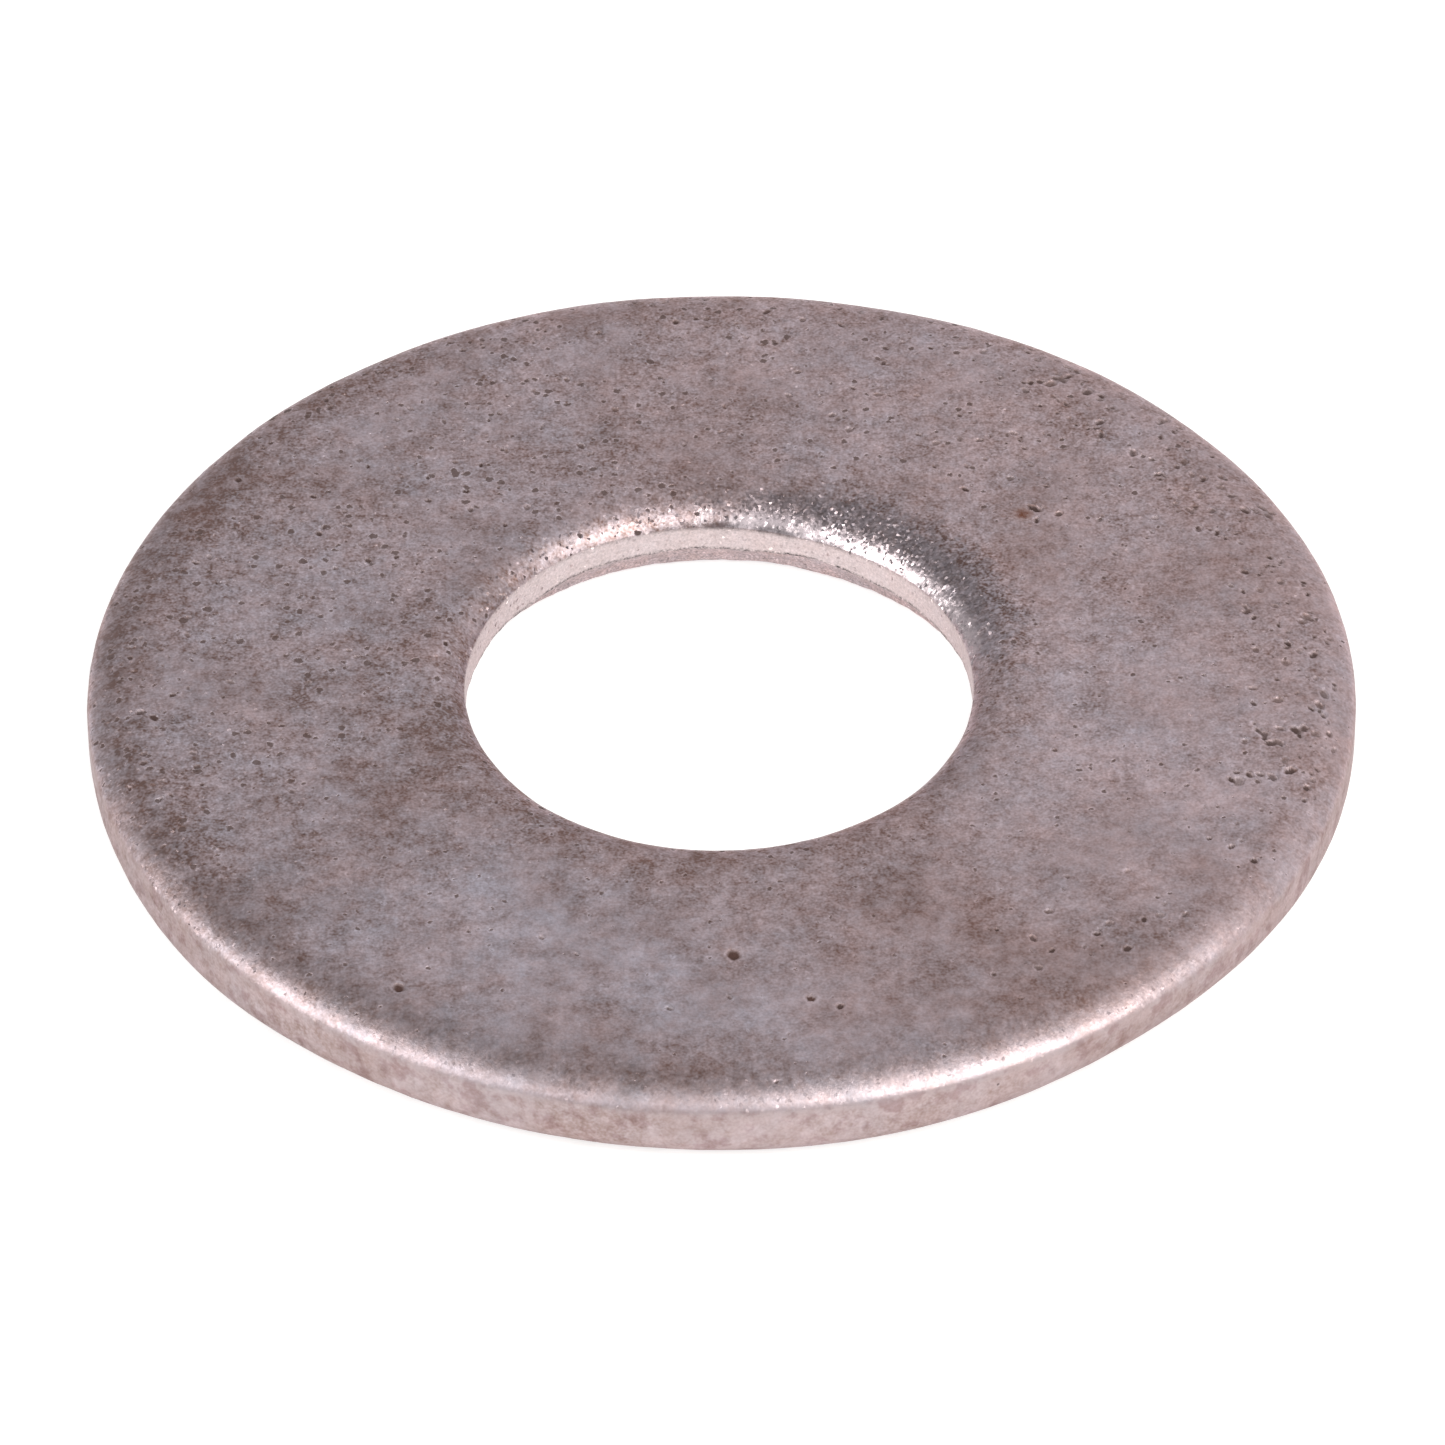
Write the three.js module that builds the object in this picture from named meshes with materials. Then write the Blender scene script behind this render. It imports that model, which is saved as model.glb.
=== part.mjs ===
// Flat washer, wide pattern, for a 7/16 in bolt. Millimetres, +Z up.
// The origin is the centre of the lower bearing face, on the axis of the hole.
import * as THREE from 'three';

// Driving dimensions
const OUTER_DIAMETER = 31.75;
const HOLE_DIAMETER = 12.7;
const THICKNESS = 2.11;

const STEPS_ROUND = 96;
const STEPS_PER_EDGE = 4;

const outerRadius = OUTER_DIAMETER / 2;
const holeRadius = HOLE_DIAMETER / 2;

// The press draws the upper skin of the sheet down over both upper edges. Each
// gets a roll instead of a corner: a long, gentle slope that steepens quickly
// at the wall. Its curve runs level for this share of its width, then drops by
// this share of its depth before it turns onto the wall.
const outerRoll = { width: 0.76 * THICKNESS, depth: 0.29 * THICKNESS };
const holeRoll = { width: 0.58 * THICKNESS, depth: 0.24 * THICKNESS };
const ROLL_LEVEL = 0.63;
const ROLL_DROP = 0.55;

// The hole's roll meets its wall in a slight edge: its curve still aims this
// far outwards when it arrives there.
const HOLE_ROLL_AIM = 0.15;

// Tumbling rounds off the lower edges.
const outerLowerRadius = 0.36 * THICKNESS;
const holeLowerRadius = 0.17 * THICKNESS;

// The punch burnishes the upper part of the hole's wall. Below that the slug
// tears away, and the torn wall flares out towards the lower face.
const tornHeight = 0.4 * THICKNESS;
const tornFlare = 0.18 * THICKNESS;

// Half of the cross-section, with x as the distance from the axis and y as the
// height. It runs counter-clockwise: outwards along the lower face, up the rim,
// inwards along the upper face and down the hole.
function crossSection() {
  const quarter = Math.PI / 2;
  const tornRadius = holeRadius + tornFlare;
  const outline = new THREE.Shape();

  outline.moveTo(tornRadius + holeLowerRadius, 0);
  outline.lineTo(outerRadius - outerLowerRadius, 0);
  outline.absarc(outerRadius - outerLowerRadius, outerLowerRadius, outerLowerRadius, -quarter, 0, false);
  outline.lineTo(outerRadius, THICKNESS - outerRoll.depth);
  outline.bezierCurveTo(
    outerRadius, THICKNESS - outerRoll.depth * ROLL_DROP,
    outerRadius - outerRoll.width * (1 - ROLL_LEVEL), THICKNESS,
    outerRadius - outerRoll.width, THICKNESS,
  );
  outline.lineTo(holeRadius + holeRoll.width, THICKNESS);
  outline.bezierCurveTo(
    holeRadius + holeRoll.width * (1 - ROLL_LEVEL), THICKNESS,
    holeRadius + HOLE_ROLL_AIM, THICKNESS - holeRoll.depth * ROLL_DROP,
    holeRadius, THICKNESS - holeRoll.depth,
  );
  outline.lineTo(holeRadius, tornHeight);
  outline.lineTo(tornRadius, holeLowerRadius);
  outline.absarc(tornRadius + holeLowerRadius, holeLowerRadius, holeLowerRadius, 2 * quarter, 3 * quarter, false);
  return outline.getPoints(STEPS_PER_EDGE);
}

const steel = new THREE.MeshStandardMaterial({ color: 0x8f8585, roughness: 0.5, metalness: 1.0 });

// The lathe turns its outline about Y, so the ring is tipped up onto Z.
const washer = new THREE.Mesh(new THREE.LatheGeometry(crossSection(), STEPS_ROUND), steel);
washer.name = 'washer';
washer.rotation.x = Math.PI / 2;

const part = new THREE.Group();
part.add(washer);

export default part;
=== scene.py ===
"""A plain flat washer: punched from steel sheet, tumbled, and lightly pitted by rust."""
import math

import bpy
import numpy as np
from mathutils import Matrix, Vector, noise


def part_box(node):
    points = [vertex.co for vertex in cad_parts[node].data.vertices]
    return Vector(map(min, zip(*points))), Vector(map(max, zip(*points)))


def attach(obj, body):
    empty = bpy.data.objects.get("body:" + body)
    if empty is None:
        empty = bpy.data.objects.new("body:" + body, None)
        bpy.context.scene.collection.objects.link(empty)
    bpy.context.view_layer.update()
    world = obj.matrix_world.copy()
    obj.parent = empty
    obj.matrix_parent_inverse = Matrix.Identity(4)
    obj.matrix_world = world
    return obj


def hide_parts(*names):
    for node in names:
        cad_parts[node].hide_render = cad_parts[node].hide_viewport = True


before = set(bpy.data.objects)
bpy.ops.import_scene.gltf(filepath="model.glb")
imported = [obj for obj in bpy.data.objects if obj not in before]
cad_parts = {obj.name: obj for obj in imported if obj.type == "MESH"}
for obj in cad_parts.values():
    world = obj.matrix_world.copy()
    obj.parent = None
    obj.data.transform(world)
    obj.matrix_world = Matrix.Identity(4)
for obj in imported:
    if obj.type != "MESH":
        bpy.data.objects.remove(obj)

MM = 0.001
TURN = 2 * math.pi

# ---------------------------------------------------------------- sizes, in mm
# The main sizes are the CAD washer's own.
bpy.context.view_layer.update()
low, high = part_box("washer")
OUTER_RADIUS = (high.x - low.x) / 2 / MM
THICKNESS = (high.z - low.z) / MM
HOLE_RADIUS = min(math.hypot(*v.co.xy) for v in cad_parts["washer"].data.vertices) / MM

# The press draws the sheet's upper skin down over both upper edges: a long, gentle slope that
# steepens quickly at the wall. Tumbling rounds the lower edges.
OUTER_ROLL_WIDTH, OUTER_ROLL_DEPTH = 0.76 * THICKNESS, 0.29 * THICKNESS
HOLE_ROLL_WIDTH, HOLE_ROLL_DEPTH = 0.58 * THICKNESS, 0.24 * THICKNESS
OUTER_LOWER_ROUND, HOLE_LOWER_ROUND = 0.36 * THICKNESS, 0.17 * THICKNESS
ROLL_LEAN = 0.63  # how far the roll's slope runs in before it turns down, as a share of its width
ROLL_DROP = 0.55  # how deep the roll is before it turns onto the wall, as a share of its depth

ROLL_EDGE = 0.15  # the hole's roll meets its wall in a slight edge, this far from turning fully down

# The punch leaned to one side: there the hole's roll is wider and deeper, and its wall flares less.
DRAG_MIDDLE, DRAG_SPREAD = math.radians(62), math.radians(42)
DRAG_WIDTH, DRAG_DEPTH, DRAG_FLARE = 0.48 * THICKNESS, 0.09 * THICKNESS, -0.06 * THICKNESS
HOLE_OFFSET = -0.06  # the hole is off centre by this much, along x

# Round the hole the film has come off the roll, mostly between these angles.
BARE_MIDDLE, BARE_SPREAD = math.radians(72), math.radians(67)
BARE_SPREAD_LEFT = math.radians(58)
FILMED_MIDDLE, FILMED_SPREAD = math.radians(106), math.radians(36)  # here some of the film is left
FILMED_SHARE = 0.74  # how much of the bareness the film takes away there

# The lower outer edge is rounded unevenly: (middle angle, spread, how much more rounding, in mm)
UNEVEN_ROUNDING = [
    (math.radians(-46), math.radians(20), 0.42),
    (math.radians(-143), math.radians(12), -0.20),
]

# The hole's wall is burnished above and torn below, where it flares out.
TORN_HEIGHT, TORN_FLARE = 0.40 * THICKNESS, 0.18 * THICKNESS
TORN_STEP = 0.045  # how far the torn wall is set back from the burnished one
TORN_STEP_HEIGHT = 0.06  # over this much of its height


# ---------------------------------------------------------------- small helpers
def smooth(x, start, end):
    """0 at start, 1 at end, and smooth between them."""
    t = np.clip((x - start) / (end - start), 0, 1)
    return t * t * (3 - 2 * t)


def near(angle, middle, spread):
    """1 at the middle angle, falling off over the spread to either side."""
    away = (angle - middle + math.pi) % TURN - math.pi
    return np.exp(-((away / spread) ** 2))


def near_degrees(angle, middle, spread):
    """The same, with the middle and the spread in degrees."""
    return near(angle, math.radians(middle), math.radians(spread))


def wavy(angle, waves, seed):
    """An uneven wave round the ring, within about -1 to 1: a few sines of random phase."""
    rng = np.random.default_rng(seed)
    total = np.zeros_like(angle)
    for n in waves:
        total += np.sin(n * angle + rng.uniform(0, TURN)) * rng.uniform(0.5, 1)
    return total / math.sqrt(len(waves))


def grain(points, size, seed, octaves=3):
    """Fractal noise at each point, within about -1 to 1, with features of this size."""
    shift = Vector((seed * 17.3, seed * 5.1, seed * 11.7))
    return np.array([noise.fractal(Vector(p) / size + shift, 1.0, 2.0, octaves) for p in points])


# ---------------------------------------------------------------- cross-section
# Each stretch of the cross-section is a cubic Bezier curve in (distance from the axis, height).
# They run counter-clockwise: out along the lower face, up the rim, in along the upper face and
# down the hole. "cells" is how many mesh cells it gets before any refinement, "level" how often
# those cells are halved everywhere.
def straight(start, end):
    return [start, start + (end - start) / 3, start + (end - start) * 2 / 3, end]


QUARTER_ROUND = 0.5523  # puts a Bezier curve's two middle points where it comes close to an arc


def rounded(start, corner, end):
    """A curve from start to end that rounds the corner."""
    k = QUARTER_ROUND
    return [start, start + (corner - start) * k, end + (corner - end) * k, end]


def point(r, z):
    return np.stack(np.broadcast_arrays(r, z)).astype(float)


def stretches(angle):
    """The curves of the cross-section at each angle, and how each is meshed."""
    outer = OUTER_RADIUS - 0.012 * (1 + wavy(angle, (3, 5, 9), 1))
    hole = HOLE_RADIUS + 0.010 * (1 + wavy(angle, (2, 5, 7), 2))
    outer_width = OUTER_ROLL_WIDTH * (1 + 0.10 * wavy(angle, (2, 3, 5, 8), 3))
    outer_depth = OUTER_ROLL_DEPTH * (1 + 0.06 * wavy(angle, (2, 5, 7, 13, 21), 4))
    drag = near(angle, DRAG_MIDDLE, DRAG_SPREAD)
    hole_width = HOLE_ROLL_WIDTH * (1 + 0.08 * wavy(angle, (2, 3, 7), 5)) + DRAG_WIDTH * drag
    hole_depth = HOLE_ROLL_DEPTH * (1 + 0.05 * wavy(angle, (2, 4, 7, 12), 6)) + DRAG_DEPTH * drag
    torn_top = TORN_HEIGHT * (1 + 0.08 * wavy(angle, (1, 2, 3, 7, 13), 7))
    flare = TORN_FLARE * (1 + 0.07 * wavy(angle, (2, 5, 11), 8)) + DRAG_FLARE * drag
    lower = OUTER_LOWER_ROUND * (1 + 0.05 * wavy(angle, (2, 4, 9), 9))
    lower += sum(more * near(angle, middle, spread) for middle, spread, more in UNEVEN_ROUNDING)
    top = THICKNESS
    torn_radius = hole + TORN_STEP + flare
    drop = top - outer_depth
    hole_drop = top - hole_depth
    return [
        ("lower_face", 16, 0, straight(point(torn_radius + HOLE_LOWER_ROUND, 0), point(outer - lower, 0))),
        ("outer_lower", 4, 1, rounded(point(outer - lower, 0), point(outer, 0), point(outer, lower))),
        ("rim", 3, 1, straight(point(outer, lower), point(outer, drop))),
        ("outer_roll", 9, 1, [
            point(outer, drop),
            point(outer, top - outer_depth * ROLL_DROP),
            point(outer - outer_width * (1 - ROLL_LEAN), top),
            point(outer - outer_width, top),
        ]),
        ("upper_face", 18, 0, straight(point(outer - outer_width, top), point(hole + hole_width, top))),
        ("hole_roll", 10, 1, [
            point(hole + hole_width, top),
            point(hole + hole_width * (1 - ROLL_LEAN), top),
            point(hole + ROLL_EDGE, top - hole_depth * ROLL_DROP),
            point(hole, hole_drop),
        ]),
        ("land", 4, 1, straight(point(hole, hole_drop), point(hole, torn_top))),
        ("step", 1, 1, straight(
            point(hole, torn_top),
            point(hole + TORN_STEP, torn_top - TORN_STEP_HEIGHT),
        )),
        ("torn", 4, 1, straight(
            point(hole + TORN_STEP, torn_top - TORN_STEP_HEIGHT),
            point(torn_radius, HOLE_LOWER_ROUND),
        )),
        ("hole_lower", 2, 1, rounded(
            point(torn_radius, HOLE_LOWER_ROUND),
            point(torn_radius, 0),
            point(torn_radius + HOLE_LOWER_ROUND, 0),
        )),
    ]


NAMES = [s[0] for s in stretches(np.zeros(1))]
CELLS = [s[1] for s in stretches(np.zeros(1))]
LEVELS = [s[2] for s in stretches(np.zeros(1))]
STARTS = np.concatenate([[0], np.cumsum(CELLS)])  # where each stretch starts, in cells


def along(curve, t):
    """Points and directions on a Bezier curve."""
    a, b, c, d = curve
    s = 1 - t
    place = a * s**3 + 3 * b * s**2 * t + 3 * c * s * t**2 + d * t**3
    way = (b - a) * s**2 + 2 * (c - b) * s * t + (d - c) * t**2
    return place, way


def section(angle, cell):
    """Distance from the axis, height, outward normal and stretch index at each angle and cell."""
    radius, height, nr, nz = (np.zeros(len(angle)) for _ in range(4))
    which = np.clip(np.searchsorted(STARTS, cell, side="right") - 1, 0, len(CELLS) - 1)
    for k in range(len(CELLS)):
        mine = which == k
        if not mine.any():
            continue
        t = (cell[mine] - STARTS[k]) / CELLS[k]
        place, way = along(stretches(angle[mine])[k][3], t)
        radius[mine], height[mine] = place
        way /= np.maximum(np.hypot(*way), 1e-9)
        nr[mine], nz[mine] = way[1], -way[0]
    return radius, height, nr, nz, which


# How far along the cross-section each cell lies, in mm, to measure distances on the surface
RULER_STEPS = 40
ruler_cell = np.linspace(0, STARTS[-1], STARTS[-1] * RULER_STEPS + 1)
ruler_r, ruler_z, *_ = section(np.zeros(len(ruler_cell)), ruler_cell % STARTS[-1])
ruler_mm = np.concatenate([[0], np.cumsum(np.hypot(np.diff(ruler_r), np.diff(ruler_z)))])


def run_of(cell):
    return np.interp(cell, ruler_cell, ruler_mm)


def radius_of(run):
    return np.interp(run, ruler_mm, ruler_r)


# ---------------------------------------------------------------- rust pits
# Where pits crowd together, as (face, middle angle, spread, both in degrees, radii in mm, how many,
# how large).
CROWDS = [
    ("upper", 20, 40, 13.2, 15.5, 200, 1.35),
    ("upper", 48, 26, 9.5, 14.6, 60, 1.15),
    ("upper", -172, 14, 13.4, 15.4, 40, 1.1),
    ("upper", 82, 30, 13.2, 15.4, 80, 1.1),
    ("upper", 70, 30, 8.2, 12.0, 40, 1.0),
    ("upper", 128, 24, 8.0, 15.2, 85, 1.05),
    ("upper", 172, 34, 8.0, 15.2, 80, 1.0),
    ("upper", -42, 20, 11.0, 15.0, 35, 1.0),
    ("upper", 0, 180, 7.6, 15.3, 50, 0.9),
    ("lower", 0, 180, 7.4, 15.2, 110, 0.9),
]
# The few pits large enough to know one by one, as (x, y, radius), on the upper face.
LARGE_PITS = [
    (-6.5, 7.2, 0.12), (-6.1, 8.2, 0.11), (-10.4, 7.0, 0.11), (-9.0, 8.2, 0.09), (-11.5, 9.2, 0.10),
    (-12.3, 7.7, 0.14), (-14.1, -1.7, 0.15), (-13.4, 4.4, 0.12), (-6.9, 1.2, 0.10), (14.2, 0.9, 0.14),
    (9.8, -10.6, 0.15), (10.2, -9.5, 0.14), (8.0, -10.7, 0.14), (12.9, -7.3, 0.14), (2.8, -12.6, 0.13),
    (-6.6, 12.9, 0.12), (5.5, 13.0, 0.11), (-8.3, 4.6, 0.11), (5.8, 6.6, 0.12), (14.0, 1.6, 0.10),
]
RUST_SPOTS = [
    (7.7, 6.1, 0.21, 1.0), (0.25, -10.7, 0.22, 0.25),
    (-7.8, -11.8, 0.17, 0.2), (2.1, -12.3, 0.15, 0.2),
]
RIM_PITS = 5
# Where the film is thick and pale (above 0) or thin and brown (below), as (x, y, spread, how much).
PATCHES = [
    (-5.0, -10.5, 3.6, 1.3), (1.5, -12.8, 2.6, 0.7), (11.0, -3.0, 3.8, 0.9), (-7.5, 9.0, 2.8, 0.6),
    (4.0, 11.5, 3.5, 0.4),
    (-7.2, 0.0, 2.8, -0.2), (-8.0, -4.5, 2.6, -0.5), (-8.8, -12.3, 1.8, -0.7), (-3.0, -14.8, 1.8, -0.7),
    (-2.2, -12.4, 1.5, 0.6),
    (3.0, -8.5, 3.6, -0.8), (7.5, -11.5, 2.6, -0.6),
    (-0.5, 9.8, 2.2, -0.4), (-12.5, 7.0, 2.6, -0.5), (14.6, -3.8, 1.4, -0.7),
]
PIT_SEED = 11


class Pits:
    """Every pit: where it is on the surface, how large and deep, and how uneven its outline is."""

    def __init__(self):
        self.rng = np.random.default_rng(PIT_SEED)
        rows = []
        for face, middle, spread, inner, outer, count, scale in CROWDS:
            for _ in range(count):
                angle = math.radians(middle + spread * self.rng.uniform(-1, 1))
                radius = math.sqrt(self.rng.uniform(inner**2, outer**2))
                size = scale * min(0.072 * math.exp(0.36 * self.rng.normal()), 0.13)
                rows.append(self.row(face + "_face", angle, radius, size))
        for x, y, size, *_ in LARGE_PITS + RUST_SPOTS:
            rows.append(self.row("upper_face", math.atan2(y, x), math.hypot(x, y), size) | {"dirt": 1.0})
        k = NAMES.index("rim")
        rim_low, rim_high = run_of(STARTS[k] - 2), run_of(STARTS[k + 1])
        for _ in range(RIM_PITS):
            run = self.rng.uniform(rim_low, rim_high)
            rows.append(self.one(self.rng.uniform(0, TURN), run, self.rng.uniform(0.05, 0.11)))
        self.rows = rows

    def row(self, stretch, angle, radius, size):
        return self.one(angle, float(run_of_radius(radius, stretch)), size)

    def one(self, angle, run, size):
        rng = self.rng
        return dict(
            angle=angle % TURN, run=run, size=size, depth=size * rng.uniform(0.35, 0.65),
            turn=rng.uniform(0, TURN), squash=rng.uniform(0.62, 1.0),
            lobes=rng.uniform(0.08, 0.26), phase=rng.uniform(0, TURN), dirt=rng.uniform(0.7, 1.0),
        )


def run_of_radius(radius, face):
    """Where on that side of the washer, in mm along the cross-section, this radius lies."""
    first, last = ("hole_lower", "outer_lower") if face == "lower_face" else ("outer_roll", "hole_roll")
    a, b = NAMES.index(first), NAMES.index(last)
    if face == "lower_face":
        a = 0
    on = (ruler_cell >= STARTS[a]) & (ruler_cell <= STARTS[b + 1])
    order = np.argsort(ruler_r[on])
    return np.interp(radius, ruler_r[on][order], ruler_mm[on][order])


def pit_reach(pit, angle, run):
    """Distance of each point from the pit's middle, where 1 is its uneven edge."""
    around = (angle - pit["angle"] + math.pi) % TURN - math.pi
    x = around * radius_of(pit["run"])
    y = run - pit["run"]
    c, s = math.cos(pit["turn"]), math.sin(pit["turn"])
    u, v = c * x + s * y, (c * y - s * x) / pit["squash"]
    bearing = np.arctan2(v, u)
    edge = 1 + pit["lobes"] * np.sin(2 * bearing + pit["phase"]) + 0.5 * pit["lobes"] * np.sin(5 * bearing)
    return np.hypot(u, v) / (pit["size"] * edge)


PITS = Pits().rows
# The mesh is fine this far round a pit, in its own reach; the pit is looked for in a window of so many
# of its sizes along the washer and across it.
FINE_REACH, FINE_ALONG, FINE_ACROSS = 1.25, 1.4, 1.6
PIT_WINDOW = 3  # a pit shapes and darkens the metal within this many sizes of its middle

# ---------------------------------------------------------------- mesh
CELLS_ROUND = 256
FINEST = 3  # a cell may be halved this often


def wanted_levels():
    """How often each of the finest cells' parents has to be halved."""
    fine = 2**FINEST
    rows, columns = CELLS_ROUND * fine, STARTS[-1] * fine
    level = np.zeros((rows, columns), np.int8)
    level[:] = np.repeat(np.array(LEVELS, np.int8), np.array(CELLS) * fine)
    angle = (np.arange(rows) + 0.5) / rows * TURN
    run = run_of((np.arange(columns) + 0.5) / fine)
    for pit in PITS:
        half = pit["size"] * FINE_ALONG / radius_of(pit["run"])
        first = math.floor((pit["angle"] - half) / TURN * rows)
        last = math.ceil((pit["angle"] + half) / TURN * rows)
        beside = np.arange(first, last) % rows
        across = np.flatnonzero(np.abs(run - pit["run"]) < pit["size"] * FINE_ACROSS)
        a, r = np.meshgrid(angle[beside], run[across], indexing="ij")
        inside = pit_reach(pit, a.ravel(), r.ravel()).reshape(a.shape) < FINE_REACH
        block = level[np.ix_(beside, across)]
        level[np.ix_(beside, across)] = np.where(inside, FINEST, block)
    return level


def spread(flags):
    """The cells next to a flagged cell, corners included, flagged as well. Both ways wrap round."""
    wide = flags | np.roll(flags, 1, 0) | np.roll(flags, -1, 0)
    return wide | np.roll(wide, 1, 1) | np.roll(wide, -1, 1)


def split_flags(level):
    """For each level, which of its cells are halved, so that neighbours differ by one level at most."""
    flags = []
    for depth in range(FINEST):
        block = 2 ** (FINEST - depth)
        rows, columns = level.shape
        most = level.reshape(rows // block, block, columns // block, block).max((1, 3))
        flags.append(most > depth)
    for depth in reversed(range(FINEST - 1)):
        wide = spread(flags[depth + 1])
        rows, columns = flags[depth].shape
        flags[depth] |= wide.reshape(rows, 2, columns, 2).any((1, 3))
    return flags


def faces_and_corners():
    """The faces, as corner numbers and sizes, and each corner's place in finest cells."""
    flags = split_flags(wanted_levels())
    fine = 2**FINEST
    rows, columns = CELLS_ROUND * fine, int(STARTS[-1]) * fine
    leaves = []
    for depth in range(FINEST + 1):
        shape = (CELLS_ROUND * 2**depth, int(STARTS[-1]) * 2**depth)
        there = np.ones(shape, bool) if depth == 0 else flags[depth - 1].repeat(2, 0).repeat(2, 1)
        if depth < FINEST:
            there = there & ~flags[depth]
        i, j = np.nonzero(there)
        step = 2 ** (FINEST - depth)
        leaves.append(np.stack([i * step, j * step, np.full(len(i), step)], 1))
    i, j, step = np.concatenate(leaves).T
    used = np.zeros((rows, columns), bool)
    for di, dj in ((0, 0), (1, 0), (1, 1), (0, 1)):
        used[(i + di * step) % rows, (j + dj * step) % columns] = True
    number = np.full((rows, columns), -1)
    number[used] = np.arange(used.sum())
    half = step // 2
    ring = [(0, 0), (1, 0), (2, 0), (2, 1), (2, 2), (1, 2), (0, 2), (0, 1)]  # in half steps
    corner, keep = [], []
    for a, b in ring:
        ii, jj = (i + a * half) % rows, (j + b * half) % columns
        whole = a % 2 == 0 and b % 2 == 0
        if whole:
            ii, jj = (i + a // 2 * step) % rows, (j + b // 2 * step) % columns
        corner.append(number[ii, jj])
        keep.append(np.ones(len(i), bool) if whole else (step > 1) & used[ii, jj])
    corner, keep = np.stack(corner, 1), np.stack(keep, 1)
    at = np.argwhere(used)
    return corner[keep], keep.sum(1), at[:, 0] / rows * TURN, at[:, 1] / fine


def washer_mesh():
    corners, sizes, angle, cell = faces_and_corners()
    radius, height, nr, nz, which = section(angle, cell)
    run = run_of(cell)
    name = np.array(NAMES)[which]

    pit = np.zeros(len(angle))
    sink = np.zeros(len(angle))
    rust = np.zeros(len(angle))
    lip_and_highlight = np.zeros(len(angle))
    order = np.argsort(angle)
    sorted_angle = angle[order]
    for p in PITS:
        half = p["size"] * PIT_WINDOW / radius_of(p["run"])
        picks = []
        for turn in (-TURN, 0, TURN):
            a, b = np.searchsorted(sorted_angle, [p["angle"] - half + turn, p["angle"] + half + turn])
            picks.append(order[a:b])
        here = np.concatenate(picks)
        here = here[np.abs(run[here] - p["run"]) < p["size"] * PIT_WINDOW]
        reach = pit_reach(p, angle[here], run[here])
        bowl = np.clip(1 - reach**2, 0, 1) ** 1.2
        sink[here] = np.maximum(sink[here], p["depth"] * bowl)
        pit[here] = np.maximum(pit[here], p["dirt"] * smooth(reach, 1.0, 0.60))
        # A low raised lip round each pit; the material also paints it lighter, a painted highlight where
        # light catches the rim.
        ring = smooth(reach, 0.85, 1.05) * smooth(reach, 1.45, 1.1)
        lip_and_highlight[here] = np.maximum(lip_and_highlight[here], ring)
    for x, y, size, strength in RUST_SPOTS:
        away = np.hypot(radius * np.cos(angle) - x, radius * np.sin(angle) - y)
        spot = strength * smooth(away, size * 1.6, size * 0.5)
        rust = np.maximum(rust, np.where(height > THICKNESS / 2, spot, 0))

    flat = np.stack([radius * np.cos(angle), radius * np.sin(angle), height], 1)
    from_bare = (angle - BARE_MIDDLE + math.pi) % TURN - math.pi
    stretched = np.where(name == "hole_roll", smooth(np.abs(nr), 0.05, 0.36), 0)
    stretched *= np.exp(-((from_bare / np.where(from_bare > 0, BARE_SPREAD_LEFT, BARE_SPREAD)) ** 4))
    stretched *= 1 - FILMED_SHARE * near(angle, FILMED_MIDDLE, FILMED_SPREAD)
    # Painted shade: a dark line in the crease where the hole's roll meets its wall, strongest at the back,
    # and along the step above the torn wall.
    crease_shade = np.exp(-(((run - run_of(STARTS[NAMES.index("land")]) + 0.07) / 0.11) ** 2))
    crease_shade *= 0.35 + 0.65 * near_degrees(angle, 84, 20)
    crease_shade = np.maximum(crease_shade, 0.9 * (name == "step"))
    patch = np.zeros(len(angle))
    for x, y, reach, strength in PATCHES:
        away = np.hypot(radius * np.cos(angle) - x, radius * np.sin(angle) - y)
        patch += strength * np.exp(-((away / reach) ** 2))
    steep = np.where(name == "hole_roll", smooth(np.abs(nr), 0.35, 0.75), 0)
    # Painted shade: a dark, bluish zone on the hole's gentle roll and the face beside it, at the back
    # right, where the slope reflects the dark ceiling.
    dark_reflection = smooth(radius, 8.7, 7.4) * (1 - steep) * near_degrees(angle, 35, 38)
    dark_reflection = np.where(np.isin(name, ["upper_face", "hole_roll"]), dark_reflection, 0)
    # Painted shade and some grime: the film is made darker and browner along the outer edge, most at the
    # left and back left and some at the front right, and round the hole, most in front.
    grime_and_shade_weight = 0.12 + 0.70 * near_degrees(angle, 150, 58) + 0.35 * near_degrees(angle, -70, 40)
    outside = smooth(radius, 13.4, 15.3) * grime_and_shade_weight
    inside = smooth(radius, 8.6, 7.1) * (0.10 + 0.48 * near_degrees(angle, -115, 95))
    grime_and_shade = np.isin(name, ["upper_face", "outer_roll", "hole_roll"]) * np.maximum(outside, inside)
    below = np.isin(name, ["rim", "outer_lower"])
    rim = np.where(name == "outer_roll", smooth(np.abs(nr), 0.75, 1.0), below)
    # The outer edge's rubbed metal: real wear, weighted up at the front and front right, where the lights'
    # highlights fall on it, so it is partly a painted highlight.
    rubbed_and_sheen = np.where(name == "outer_roll", smooth(np.abs(nr), 0.15, 0.55), 0)
    rubbed_and_sheen *= 0.35 + 0.40 * near_degrees(angle, -100, 55) + 0.65 * near_degrees(angle, -66, 24)
    torn = np.isin(name, ["step", "torn", "hole_lower"]).astype(float)
    wall = np.isin(name, ["land", "step"]).astype(float)

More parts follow.
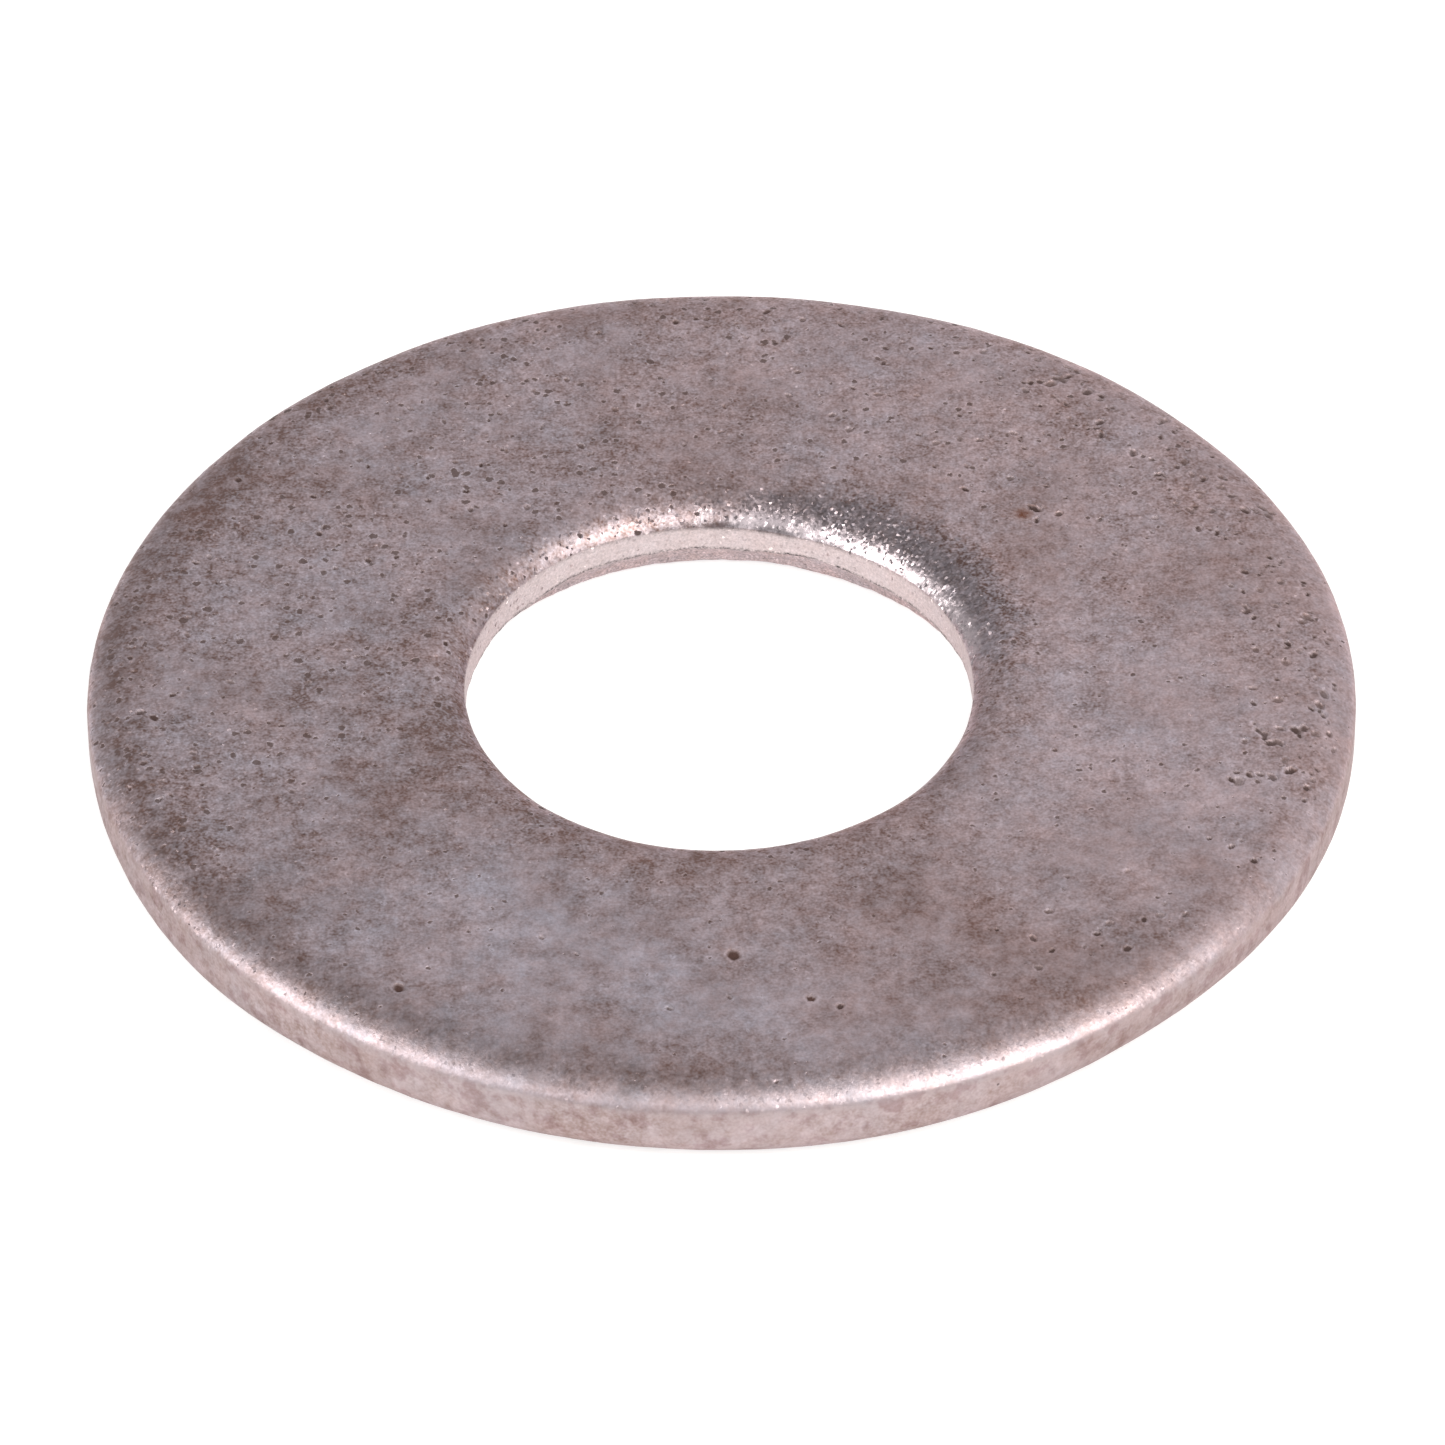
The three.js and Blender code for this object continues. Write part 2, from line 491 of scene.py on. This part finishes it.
    rough = 0.007 * grain(flat, 0.9, 1) + 0.003 * grain(flat, 0.3, 2, 2)
    rough += stretched * 0.012 * grain(flat, 0.25, 3, 2)
    rough += rubbed_and_sheen * 0.010 * grain(flat, 0.7, 5, 2)
    rough += torn * 0.018 * grain(flat * (1, 1, 1.6), 0.35, 4)
    out = rough - sink + 0.004 * lip_and_highlight
    out = np.where(np.abs(nz) > 0.9, np.minimum(out, 0.004), out)
    push_r, push_z = radius + nr * out, height + nz * out
    inner = smooth(radius, HOLE_RADIUS + 3, HOLE_RADIUS + 1)
    across = push_r * np.cos(angle) + HOLE_OFFSET * inner
    place = np.stack([across, push_r * np.sin(angle), push_z], 1) * MM

    mesh = bpy.data.meshes.new("washer_body")
    mesh.vertices.add(len(place))
    mesh.vertices.foreach_set("co", place.ravel())
    mesh.loops.add(len(corners))
    mesh.loops.foreach_set("vertex_index", corners.astype(np.int32))
    mesh.polygons.add(len(sizes))
    starts = np.concatenate([[0], np.cumsum(sizes)[:-1]])
    mesh.polygons.foreach_set("loop_start", starts.astype(np.int32))
    mesh.update(calc_edges=True)
    mesh.validate()
    mesh.polygons.foreach_set("use_smooth", np.ones(len(mesh.polygons), bool))
    kinds = dict(
        pit=pit, lip_and_highlight=lip_and_highlight, rust=rust, patch=patch, grime_and_shade=grime_and_shade, stretched=stretched, steep=steep,
        dark_reflection=dark_reflection, rubbed_and_sheen=rubbed_and_sheen, rim=rim, torn=torn, wall=wall, crease_shade=crease_shade,
    )
    for label, values in kinds.items():
        layer = mesh.attributes.new(label, "FLOAT", "POINT")
        layer.data.foreach_set("value", values.astype(np.float32))
    return mesh


body = bpy.data.objects.new("washer_body", washer_mesh())
bpy.context.scene.collection.objects.link(body)
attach(body, "root")
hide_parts("washer")


# ---------------------------------------------------------------- materials
class Graph:
    """A material's nodes, each made in one call. An input is a value or another node's output."""

    def __init__(self, tree):
        self.tree = tree
        tree.nodes.clear()

    def node(self, kind, settings=None, **inputs):
        made = self.tree.nodes.new("ShaderNode" + kind)
        for key, value in (settings or {}).items():
            setattr(made, key, value)
        for key, value in inputs.items():
            self.feed(made.inputs[key.replace("_", " ")], value)
        return made

    def feed(self, socket, value):
        if isinstance(value, bpy.types.NodeSocket):
            self.tree.links.new(value, socket)
        else:
            socket.default_value = value

    def math(self, operation, *values, clamp=False):
        made = self.node("Math", {"operation": operation, "use_clamp": clamp})
        for socket, value in zip(made.inputs, values):
            self.feed(socket, value)
        return made.outputs[0]

    def vector(self, operation, *values):
        made = self.node("VectorMath", {"operation": operation})
        for socket, value in zip(made.inputs, values):
            self.feed(socket, value)
        return made.outputs["Value" if operation in ("LENGTH", "DOT_PRODUCT") else "Vector"]

    def plus(self, a, b):
        return self.math("ADD", a, b)

    def minus(self, a, b):
        return self.math("SUBTRACT", a, b)

    def times(self, a, b):
        return self.math("MULTIPLY", a, b)

    def most(self, a, b):
        """The larger of the two."""
        return self.math("MAXIMUM", a, b)

    def ramp(self, value, low, high, to_low=0.0, to_high=1.0):
        """The value, from low to high, spread smoothly over to_low to to_high."""
        made = self.node("MapRange", {"interpolation_type": "SMOOTHSTEP"})
        names = ("Value", "From Min", "From Max", "To Min", "To Max")
        for key, v in zip(names, (value, low, high, to_low, to_high)):
            self.feed(made.inputs[key], v)
        return made.outputs["Result"]

    def noise(self, place, per_mm, detail=3.0, roughness=0.55, distortion=0.0):
        made = self.node(
            "TexNoise", Vector=place, Scale=per_mm, Detail=detail, Roughness=roughness,
            Distortion=distortion,
        )
        return made.outputs["Fac"]

    def mix(self, share, first, second, blend="MIX"):
        made = self.node("Mix", {"data_type": "RGBA", "blend_type": blend})
        self.feed(made.inputs["Factor"], share)
        colours = [s for s in made.inputs if s.type == "RGBA"]
        self.feed(colours[0], first)
        self.feed(colours[1], second)
        return next(s for s in made.outputs if s.type == "RGBA")

    def attribute(self, name):
        return self.node("Attribute", {"attribute_name": name}).outputs["Fac"]


def colour(r, g, b):
    return (r, g, b, 1.0)


LAVENDER = colour(0.800, 0.666, 0.726)
BROWN = colour(0.282, 0.178, 0.160)
WARM = colour(1.090, 1.000, 0.950)
COOL = colour(0.900, 1.000, 1.050)
BARE = colour(0.610, 0.512, 0.552)
BRIGHT = colour(0.880, 0.770, 0.815)
# painted shade, multiplied in: the dark reflection beside the hole
DARK_REFLECTION = colour(0.765, 0.790, 0.805)
BURNISHED = colour(0.690, 0.592, 0.592)
TORN = colour(0.520, 0.425, 0.430)
RIM = colour(0.395, 0.307, 0.288)
PIT_DIRT = colour(0.070, 0.043, 0.040)
RUST = colour(0.120, 0.045, 0.028)
# The film's patches, from wide clouds to fine grain: (size in mm, how much it changes the film)
MOTTLING = [(5.0, 0.14), (2.6, 0.24), (1.35, 0.27), (0.64, 0.36), (0.32, 0.40)]
GRAIN = [(0.16, 0.58), (0.07, 0.78)]


def steel():
    material = bpy.data.materials.new("steel")
    material.use_nodes = True
    g = Graph(material.node_tree)
    place = g.vector("MULTIPLY", g.node("TexCoord").outputs["Object"], (1 / MM, 1 / MM, 1 / MM))
    elsewhere = g.vector("ADD", place, (31.0, 47.0, 19.0))
    pit, lip_and_highlight = g.attribute("pit"), g.attribute("lip_and_highlight")
    rust, grime_and_shade = g.attribute("rust"), g.attribute("grime_and_shade")
    stretched, rubbed_and_sheen = g.attribute("stretched"), g.attribute("rubbed_and_sheen")
    steep, dark_reflection = g.attribute("steep"), g.attribute("dark_reflection")
    rim, placed = g.attribute("rim"), g.attribute("patch")
    torn, wall, crease_shade = g.attribute("torn"), g.attribute("wall"), g.attribute("crease_shade")

    # small pits, far too many for the mesh: each is a ragged dot in a random cell
    wobble = g.node("TexNoise", Vector=place, Scale=7.0, Detail=2.0).outputs["Color"]
    shake = g.vector("MULTIPLY", g.vector("SUBTRACT", wobble, (0.5,) * 3), (0.16,) * 3)
    shaken = g.vector("ADD", place, shake)
    cells = g.node("TexVoronoi", Vector=shaken, Scale=3.4)
    chance = g.node("SeparateColor", Color=cells.outputs["Color"]).outputs[0]
    crowd = g.noise(place, 0.35, 3, 0.6)
    worn_side = g.ramp(g.vector("DOT_PRODUCT", place, (-0.85, 0.52, 0.0)), -9.0, 11.0, 0.80, 1.10)
    widest = g.ramp(chance, 0.25, 1.0, 0.0, 0.34)
    widest = g.times(widest, g.ramp(crowd, 0.35, 0.60, 0.55, 1.20))
    flat = g.most(g.most(stretched, rubbed_and_sheen), g.most(wall, rim))
    flat = g.ramp(g.most(flat, torn), 0.3, 0.9, 1.0, 0.30)
    front = g.ramp(g.vector("DOT_PRODUCT", place, (0.20, -0.98, 0.0)), 4.0, 12.0)
    flat = g.times(flat, g.minus(1.0, g.times(front, 0.35)))
    widest = g.times(g.times(widest, flat), worn_side)
    inside = g.minus(widest, cells.outputs["Distance"])
    dot = g.ramp(inside, 0.0, 0.12)
    # a ring round each small dot, painted lighter: a painted highlight on its rim
    edge = g.times(g.ramp(inside, -0.10, -0.02), g.ramp(inside, 0.04, -0.02))
    edge = g.times(edge, g.ramp(widest, 0.10, 0.20))
    pitted = g.most(pit, g.times(dot, 0.90))
    lip_highlight = g.most(lip_and_highlight, edge)

    # the film: pale lavender where it is thick, darker and browner where it is thin,
    # in patches of all sizes
    # Across the face the film is a little paler, warmer and less mottled toward the right, and darker and
    # cooler toward the left.
    side = g.ramp(g.vector("DOT_PRODUCT", place, (0.93, 0.36, 0.0)), -16.0, 16.0, -1.0, 1.0)

    def unevenness(sizes):
        """Noise of several sizes, each with its strength, round 0."""
        total = 0.0
        for size, strength in sizes:
            one = g.minus(g.noise(place, 1 / size, 0, 0.5, 0.3), 0.5)
            total = g.plus(total, g.times(one, strength))
        return total

    film = g.plus(g.times(side, 0.03), g.times(placed, 0.15))
    clouds = g.times(unevenness(MOTTLING), g.minus(1.0, g.times(side, 0.15)))
    film = g.plus(film, clouds)
    coarse = g.times(g.ramp(film, -0.25, 0.25, 1.20, 0.80), g.ramp(crowd, 0.35, 0.60, 0.75, 1.20))
    coarse = g.times(coarse, g.minus(1.0, g.times(front, 0.35)))
    coarse = g.plus(coarse, g.times(dark_reflection, 1.2))
    film = g.plus(film, g.times(unevenness(GRAIN), coarse))
    stain = g.noise(elsewhere, 1.5, 6, 0.85)
    speck = g.noise(place, 5.5, 3, 0.95)
    fine = g.noise(place, 15.0, 1, 0.8)
    # painted shade and grime: darker, browner film along the outer edge and round the hole, in ragged
    # patches
    film = g.minus(film, g.times(grime_and_shade, g.ramp(stain, 0.38, 0.62, 0.10, 0.46)))
    calm = g.minus(1.0, g.times(wall, 0.35))
    film = g.times(film, calm)
    # painted highlight: the pits' lips and the dots' rims are made lighter
    film = g.plus(g.plus(film, g.times(lip_highlight, 0.22)), 0.5)
    tint = g.mix(film, BROWN, LAVENDER)
    ragged = g.plus(stretched, g.times(g.minus(stain, 0.5), 1.6))
    bare = g.times(g.ramp(ragged, 0.25, 0.55), g.ramp(stretched, 0.0, 0.15))
    bared = g.times(bare, g.ramp(steep, 0.0, 0.6, 0.45, 0.80))
    # the rubbed edge loses its film, most at the front and front right: partly a painted highlight
    film_off = g.most(bared, g.times(rubbed_and_sheen, 0.55))
    tint = g.mix(film_off, tint, BARE)
    # painted shade: the dark reflection at the back right of the hole, laid on in ragged lumps
    lumps = g.plus(dark_reflection, g.times(g.minus(g.noise(elsewhere, 1.9, 5, 0.8), 0.5), 3.0))
    tint = g.mix(g.times(g.ramp(lumps, 0.30, 0.90), g.ramp(dark_reflection, 0.0, 0.2)), tint, DARK_REFLECTION, "MULTIPLY")
    tint = g.mix(g.times(g.times(steep, bare), 0.7), tint, BRIGHT)
    tint = g.mix(g.times(torn, 0.70), tint, TORN)
    tint = g.mix(g.times(wall, 0.70), tint, BURNISHED)
    tint = g.mix(g.times(rim, 0.50), tint, RIM)
    hue = g.times(g.minus(g.noise(elsewhere, 0.6, 5, 0.8), 0.5), 1.9)
    hue = g.plus(hue, g.minus(g.times(side, 0.16), g.times(placed, 0.12)))
    plain = g.most(g.times(wall, 0.7), g.times(rim, 0.5))
    plain = g.most(plain, g.times(bare, 0.85))
    hue = g.times(hue, g.minus(1.0, plain))
    hue = g.plus(hue, 0.5)
    tint = g.mix(1.0, tint, g.mix(hue, COOL, WARM), "MULTIPLY")
    # painted shade: the crease's dark line, broken into streaks
    painted_crease_line = g.times(crease_shade, g.ramp(stain, 0.62, 0.44, 0.08, 0.66))
    sheared = g.times(g.minus(fine, 0.5), 0.75)
    sheared = g.plus(sheared, g.times(g.minus(speck, 0.5), 0.40))
    blotch = g.times(rim, g.ramp(g.noise(elsewhere, 2.0, 3, 0.6), 0.48, 0.66, 0.0, 0.26))
    cut = g.plus(g.times(wall, 0.85), g.times(torn, 2.2))
    shade = g.plus(1.0, g.times(cut, sheared))
    shade = g.minus(shade, painted_crease_line)
    red = g.minus(shade, g.times(blotch, 0.8))
    other = g.minus(shade, g.times(blotch, 1.05))
    tone = g.node("CombineColor", Red=red, Green=other, Blue=other).outputs["Color"]
    toned = g.mix(1.0, tint, tone, "MULTIPLY")
    dirty = g.mix(pitted, toned, PIT_DIRT)
    rusty = g.times(rust, g.ramp(speck, 0.35, 0.60, 0.65, 1.0))
    base = g.mix(rusty, dirty, RUST)
    metal = g.minus(1.0, g.most(g.ramp(pitted, 0.1, 0.8), rusty))

    # gloss: the film is dull, the stretched and rubbed metal shines
    dull = g.plus(g.ramp(stain, 0.30, 0.70, 0.40, 0.50), g.ramp(speck, 0.3, 0.7, -0.04, 0.04))
    shine = g.minus(dull, g.times(bare, 0.13))
    shine = g.plus(shine, g.times(rubbed_and_sheen, 0.03))
    shine = g.math("ADD", shine, g.times(g.most(pitted, rusty), 0.25), clamp=True)

    # relief: fine tooth all over and the small pits, then glinting facets: few on the rubbed
    # edge, the rim and the front
    tooth = g.plus(g.times(speck, 0.6), g.times(fine, 0.4))
    bump = g.node("Bump", Strength=0.6, Distance=0.014 * MM, Height=tooth).outputs["Normal"]
    bump = g.node(
        "Bump", {"invert": True}, Strength=0.6, Distance=0.025 * MM, Height=dot, Normal=bump
    ).outputs["Normal"]
    crystal = g.node("TexVoronoi", Vector=place, Scale=14.0).outputs["Color"]
    lean = g.vector("SUBTRACT", crystal, (0.5, 0.5, 0.5))
    draw = g.node("SeparateColor", Color=crystal).outputs[2]
    rare = g.ramp(g.plus(draw, g.times(stretched, 0.12)), 0.86, 1.0)
    sparkle = g.ramp(steep, 0.15, 0.85, 0.28, 0.07)
    smoothed = g.most(g.most(rubbed_and_sheen, rim), front)
    glinting = g.times(worn_side, g.ramp(smoothed, 0.0, 0.8, 1.20, 0.35))
    glinting = g.plus(glinting, g.times(stretched, g.ramp(steep, 0.2, 0.8, 0.70, -0.35)))
    glint = g.times(rare, glinting)
    strength = g.plus(g.times(bare, sparkle), glint)
    strength = g.plus(strength, 0.08)
    lean = g.node("VectorMath", {"operation": "SCALE"}, Vector=lean, Scale=strength).outputs["Vector"]
    facets = g.vector("NORMALIZE", g.vector("ADD", bump, lean))

    shader = g.node("BsdfPrincipled", Base_Color=base, Metallic=metal, Roughness=shine, Normal=facets)
    shader.inputs["Specular Tint"].default_value = colour(0.75, 0.70, 0.70)
    shader.inputs["Specular IOR Level"].default_value = 0.2
    out = g.node("OutputMaterial")
    g.feed(out.inputs["Surface"], shader.outputs["BSDF"])
    return material


body.data.materials.append(steel())

# ---------------------------------------------------------------- floor
FLOOR_REACH = 3.0
FLOOR_GAP = 0.02 * MM
FLOOR_GLOW = 0.66
FLOOR_GREY = 0.55
FLOOR_ROUGHNESS = 0.9


def floor():
    mesh = bpy.data.meshes.new("floor")
    square = ((-1, -1), (1, -1), (1, 1), (-1, 1))
    corners = [(x * FLOOR_REACH, y * FLOOR_REACH, -FLOOR_GAP) for x, y in square]
    mesh.from_pydata(corners, [], [(0, 1, 2, 3)])
    made = bpy.data.objects.new("floor", mesh)
    bpy.context.scene.collection.objects.link(made)
    material = bpy.data.materials.new("floor_white")
    material.use_nodes = True
    shader = material.node_tree.nodes["Principled BSDF"]
    shader.inputs["Base Color"].default_value = colour(FLOOR_GREY, FLOOR_GREY, FLOOR_GREY)
    shader.inputs["Roughness"].default_value = FLOOR_ROUGHNESS
    shader.inputs["Specular IOR Level"].default_value = 0.0
    shader.inputs["Emission Color"].default_value = colour(1, 1, 1)
    shader.inputs["Emission Strength"].default_value = FLOOR_GLOW
    mesh.materials.append(material)


floor()


# ---------------------------------------------------------------- light
def softbox(name, toward, distance, size, radiance, tint=(1, 1, 1)):
    """A square area light that faces the washer, this bright seen from it."""
    lamp = bpy.data.lights.new(name, "AREA")
    lamp.shape = "RECTANGLE"
    lamp.size, lamp.size_y = size
    lamp.energy = radiance * math.pi * size[0] * size[1]
    lamp.color = tint
    made = bpy.data.objects.new(name, lamp)
    bpy.context.scene.collection.objects.link(made)
    way = Vector(toward).normalized()
    made.location = way * distance
    made.rotation_euler = way.to_track_quat("Z", "Y").to_euler()
    made.visible_camera = False


SOFTBOX_DISTANCE = 0.6
softbox("left_softbox", (-0.832, -0.230, 0.585), SOFTBOX_DISTANCE, (0.46, 0.44), 2.95, (1, 1, 0.950))
softbox("right_softbox", (0.600, -0.470, 0.76), SOFTBOX_DISTANCE, (0.32, 0.44), 5.0, (1, 1, 0.925))

# The room round the washer: how bright it is in front, behind, to the left and right behind, and
# overhead, where the ceiling is dark.
LOW_BACK = 0.50
FRONT_LOW, FRONT_HIGH, BACK_WALL, LEFT_CORNER, RIGHT_CORNER, CEILING = 0.66, 0.65, 0.71, 0.34, 0.60, 0.16


def studio_walls():
    world = bpy.data.worlds.new("studio")
    bpy.context.scene.world = world
    world.use_nodes = True
    g = Graph(world.node_tree)
    way = g.node("TexCoord").outputs["Generated"]

    def along_way(x, y, z):
        return g.vector("DOT_PRODUCT", way, tuple(Vector((x, y, z)).normalized()))

    def blend(level, share, target):
        return g.plus(g.times(level, g.minus(1.0, share)), g.times(share, target))

    front = g.ramp(along_way(0, 0, 1), 0.20, 0.60, FRONT_LOW, FRONT_HIGH)
    level = blend(BACK_WALL, g.ramp(along_way(0, -1, 0), -0.30, 0.50), front)
    level = blend(level, g.ramp(along_way(0, 1, 0), 0.84, 0.98), LOW_BACK)
    level = blend(level, g.ramp(along_way(-0.80, 0.60, 0.20), 0.60, 0.97), LEFT_CORNER)
    level = blend(level, g.ramp(along_way(0.80, 0.60, 0.20), 0.60, 0.97), RIGHT_CORNER)
    level = blend(level, g.ramp(along_way(-0.24, 0.28, 0.93), 0.82, 0.96), CEILING)
    shade = g.node("CombineColor", Red=level, Green=level, Blue=level).outputs["Color"]
    background = g.node("Background", Color=shade, Strength=1.0)
    out = g.node("OutputWorld")
    g.feed(out.inputs["Surface"], background.outputs["Background"])


studio_walls()

# ---------------------------------------------------------------- camera
CAMERA_HEIGHT = math.radians(40.26)  # above the horizon
CAMERA_ROLL = math.radians(-0.37)
CAMERA_DISTANCE = 251.65 * MM
CAMERA_AIM = Vector((0.016, 0.45, 0.0)) * MM
LENS = 249.13  # on a 36 mm sensor


def camera():
    data = bpy.data.cameras.new("camera")
    data.sensor_width = 36.0
    data.lens = LENS
    data.clip_start, data.clip_end = 0.01, 10.0
    made = bpy.data.objects.new("camera", data)
    bpy.context.scene.collection.objects.link(made)
    back = Vector((0, -math.cos(CAMERA_HEIGHT), math.sin(CAMERA_HEIGHT)))
    turned = back.to_track_quat("Z", "Y").to_matrix().to_4x4() @ Matrix.Rotation(CAMERA_ROLL, 4, "Z")
    made.matrix_world = Matrix.Translation(CAMERA_AIM + back * CAMERA_DISTANCE) @ turned
    bpy.context.scene.camera = made


camera()
bpy.context.scene.view_settings.view_transform = "Standard"
